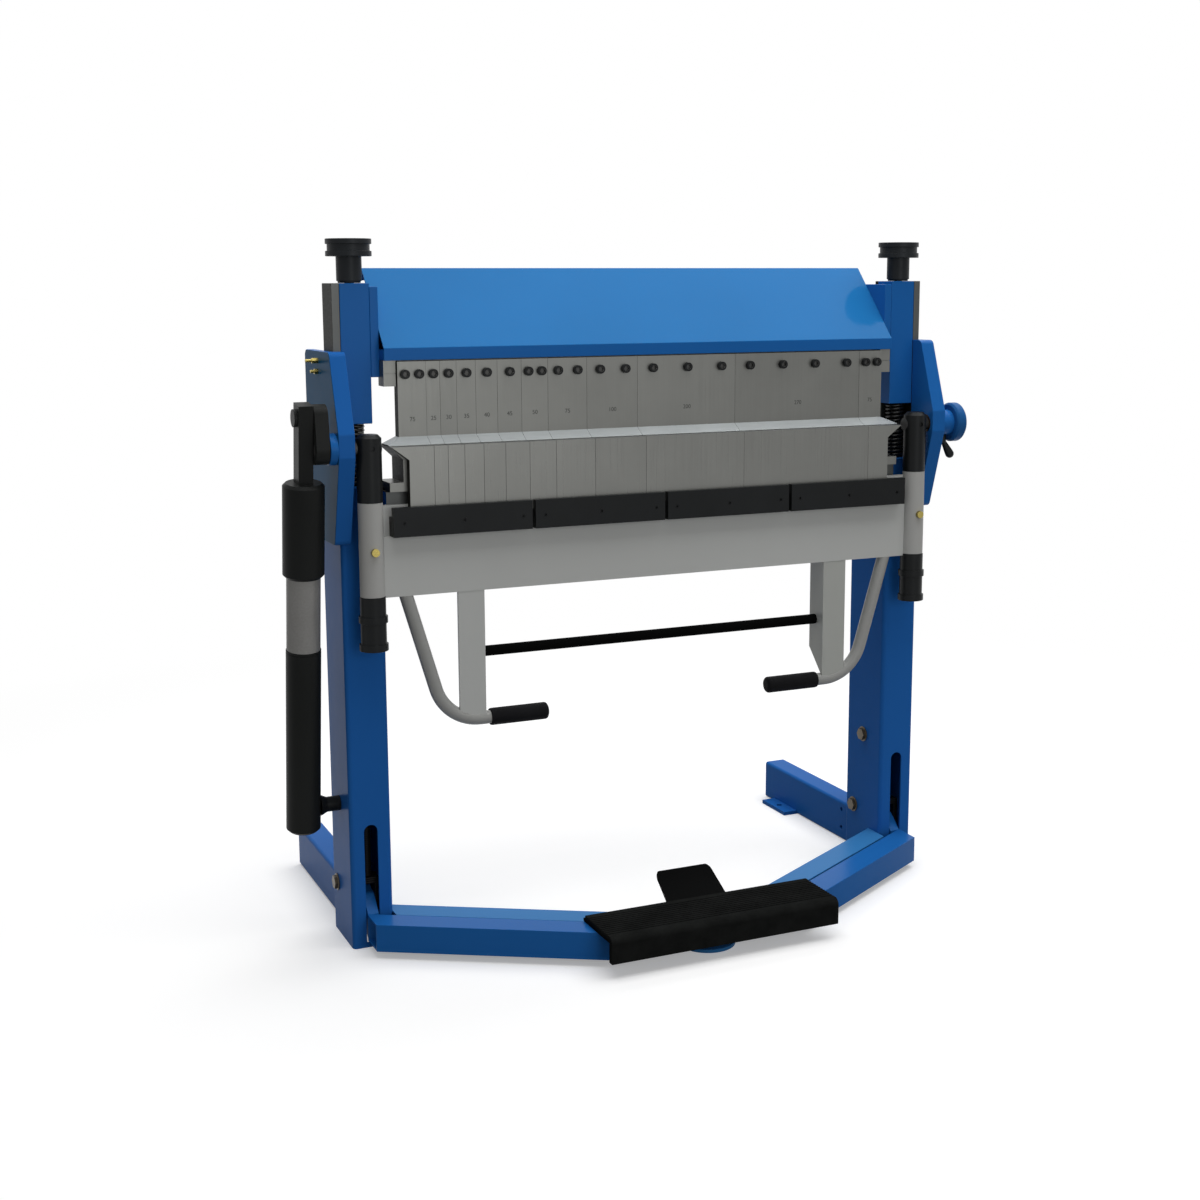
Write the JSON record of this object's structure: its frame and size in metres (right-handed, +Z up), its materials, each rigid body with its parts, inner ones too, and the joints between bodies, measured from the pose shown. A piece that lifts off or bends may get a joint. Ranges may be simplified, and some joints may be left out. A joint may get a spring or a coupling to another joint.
{
  "type": "manual sheet metal folder",
  "caption": "Floor-standing manual folding machine: pedal-raised segmented clamping beam, hinged folding beam with handles, handwheels and a balancer strut.",
  "frame": {"origin": "on the floor, straight below the middle of the bend line, where the top front edge of the bed lies", "axes": "+X to the operator's right along the bend line, +Y to the rear, +Z up"},
  "size_m": [1.3383, 0.799, 1.2482],
  "materials": {
    "blue_paint": "gloss",
    "grey_paint": "satin",
    "ground_steel": "ground",
    "bright_steel": "bright",
    "black_steel": "satin",
    "black_rubber": "matt",
    "bronze": "satin",
    "brass": "satin"
  },
  "bodies": {
    "stand": {"column_right": "blue_paint", "column_left": "blue_paint", "rear_foot_right": "blue_paint", "rear_foot_left": "blue_paint", "base_stretcher": "blue_paint", "slide_guide_right": "ground_steel", "slide_guide_left": "ground_steel", "cheek_right": "blue_paint", "cheek_left": "blue_paint", "pivot_boss": "blue_paint", "lower_beam": "blue_paint", "lower_segments": "ground_steel", "pivot_bushes": "bronze", "grease_nipples": "brass", "column_bolts": "black_steel", "balancer_anchor_pin": "black_steel", "angle_stop_collar": "blue_paint", "return_spring_right": "bright_steel", "return_spring_left": "bright_steel"},
    "clamping_beam": {"hood": "blue_paint", "upper_beam": "blue_paint", "slider_block_right": "blue_paint", "slider_block_left": "blue_paint", "tool_holder": "ground_steel", "upper_segments": "ground_steel", "segment_bolts": "black_steel", "tie_rod_right": "bright_steel", "tie_rod_left": "bright_steel"},
    "handwheel_r": {"handwheel_right": "black_steel"},
    "handwheel_l": {"handwheel_left": "black_steel"},
    "pedal": {"pedal_lever_right": "blue_paint", "pedal_lever_left": "blue_paint", "pedal_bar": "blue_paint", "pedal_plate": "black_steel", "pedal_mat": "black_rubber"},
    "folding_wing": {"folding_beam": "grey_paint", "folding_segments": "ground_steel", "clamp_strips": "black_steel", "strip_screws": "black_steel", "arm_sleeve_right": "grey_paint", "arm_sleeve_left": "grey_paint", "sleeve_screws": "brass", "pivot_block_right": "black_steel", "pivot_block_left": "black_steel", "pivot_shafts": "bright_steel", "brace_leg_right": "grey_paint", "brace_leg_left": "grey_paint", "brace_rod": "black_steel", "handle_right": "grey_paint", "handle_left": "grey_paint", "handle_grips": "black_rubber", "balancer_crank": "black_steel"},
    "nut_r": {"adjusting_nut_right": "black_steel"},
    "nut_l": {"adjusting_nut_left": "black_steel"},
    "stop_disc": {"angle_stop_disc": "blue_paint"},
    "stop_lever": {"stop_clamp_lever": "black_steel"},
    "strut_tube": {"balancer_tube": "black_steel", "balancer_liner": "bright_steel"},
    "strut_cup": {"balancer_sleeve": "black_steel"}
  },
  "joints": [
    {"name": "folding_swing", "type": "hinge", "parent": "stand", "child": "folding_wing", "pos_m": [0, 0, 0.9], "axis": [-1, 0, 0], "range_deg": [0, 135]},
    {"name": "pedal_lift", "type": "hinge", "parent": "stand", "child": "pedal", "pos_m": [0, 0.1346, 0.095], "axis": [-1, 0, 0], "range_deg": [0, 34]},
    {"name": "clamp_lift", "type": "slide", "parent": "stand", "child": "clamping_beam", "axis": [0, 0, 1], "range_m": [0, 0.0375], "deforming": ["return_spring_right", "return_spring_left"]},
    {"name": "handwheel_right_turn", "type": "hinge", "parent": "clamping_beam", "child": "handwheel_r", "pos_m": [0.551, 0.072, 1.2], "axis": [0, 0, 1], "continuous": true},
    {"name": "handwheel_left_turn", "type": "hinge", "parent": "clamping_beam", "child": "handwheel_l", "pos_m": [-0.551, 0.072, 1.2], "axis": [0, 0, 1], "continuous": true},
    {"name": "adjusting_nut_right_turn", "type": "hinge", "parent": "folding_wing", "child": "nut_r", "pos_m": [0.547, -0.0053, 0.6], "axis": [0, 0, 1], "continuous": true},
    {"name": "adjusting_nut_left_turn", "type": "hinge", "parent": "folding_wing", "child": "nut_l", "pos_m": [-0.547, -0.0053, 0.6], "axis": [0, 0, 1], "continuous": true},
    {"name": "angle_stop_turn", "type": "hinge", "parent": "stand", "child": "stop_disc", "pos_m": [0.638, 0, 0.9], "axis": [-1, 0, 0], "range_deg": [0, 135]},
    {"name": "stop_lever_turn", "type": "hinge", "parent": "stand", "child": "stop_lever", "pos_m": [0.615, 0, 0.87], "axis": [0, 0, 1], "range_deg": [0, 90]},
    {"name": "strut_tilt", "type": "hinge", "parent": "stand", "child": "strut_tube", "pos_m": [-0.654, 0.103, 0.254], "axis": [1, 0, 0], "range_deg": [-1.69, 0.01]},
    {"name": "strut_stroke", "type": "slide", "parent": "strut_tube", "child": "strut_cup", "axis": [0, 0.14, -0.9901], "range_m": [0, 0.09831]}
  ],
  "couplings": [
    {"joint": "clamp_lift", "follows": "pedal_lift", "m_per_rad": 0.063065},
    {"joint": "strut_tilt", "follows": "folding_swing", "ratio": -0.012371},
    {"joint": "strut_stroke", "follows": "folding_swing", "m_per_rad": 0.041681}
  ]
}
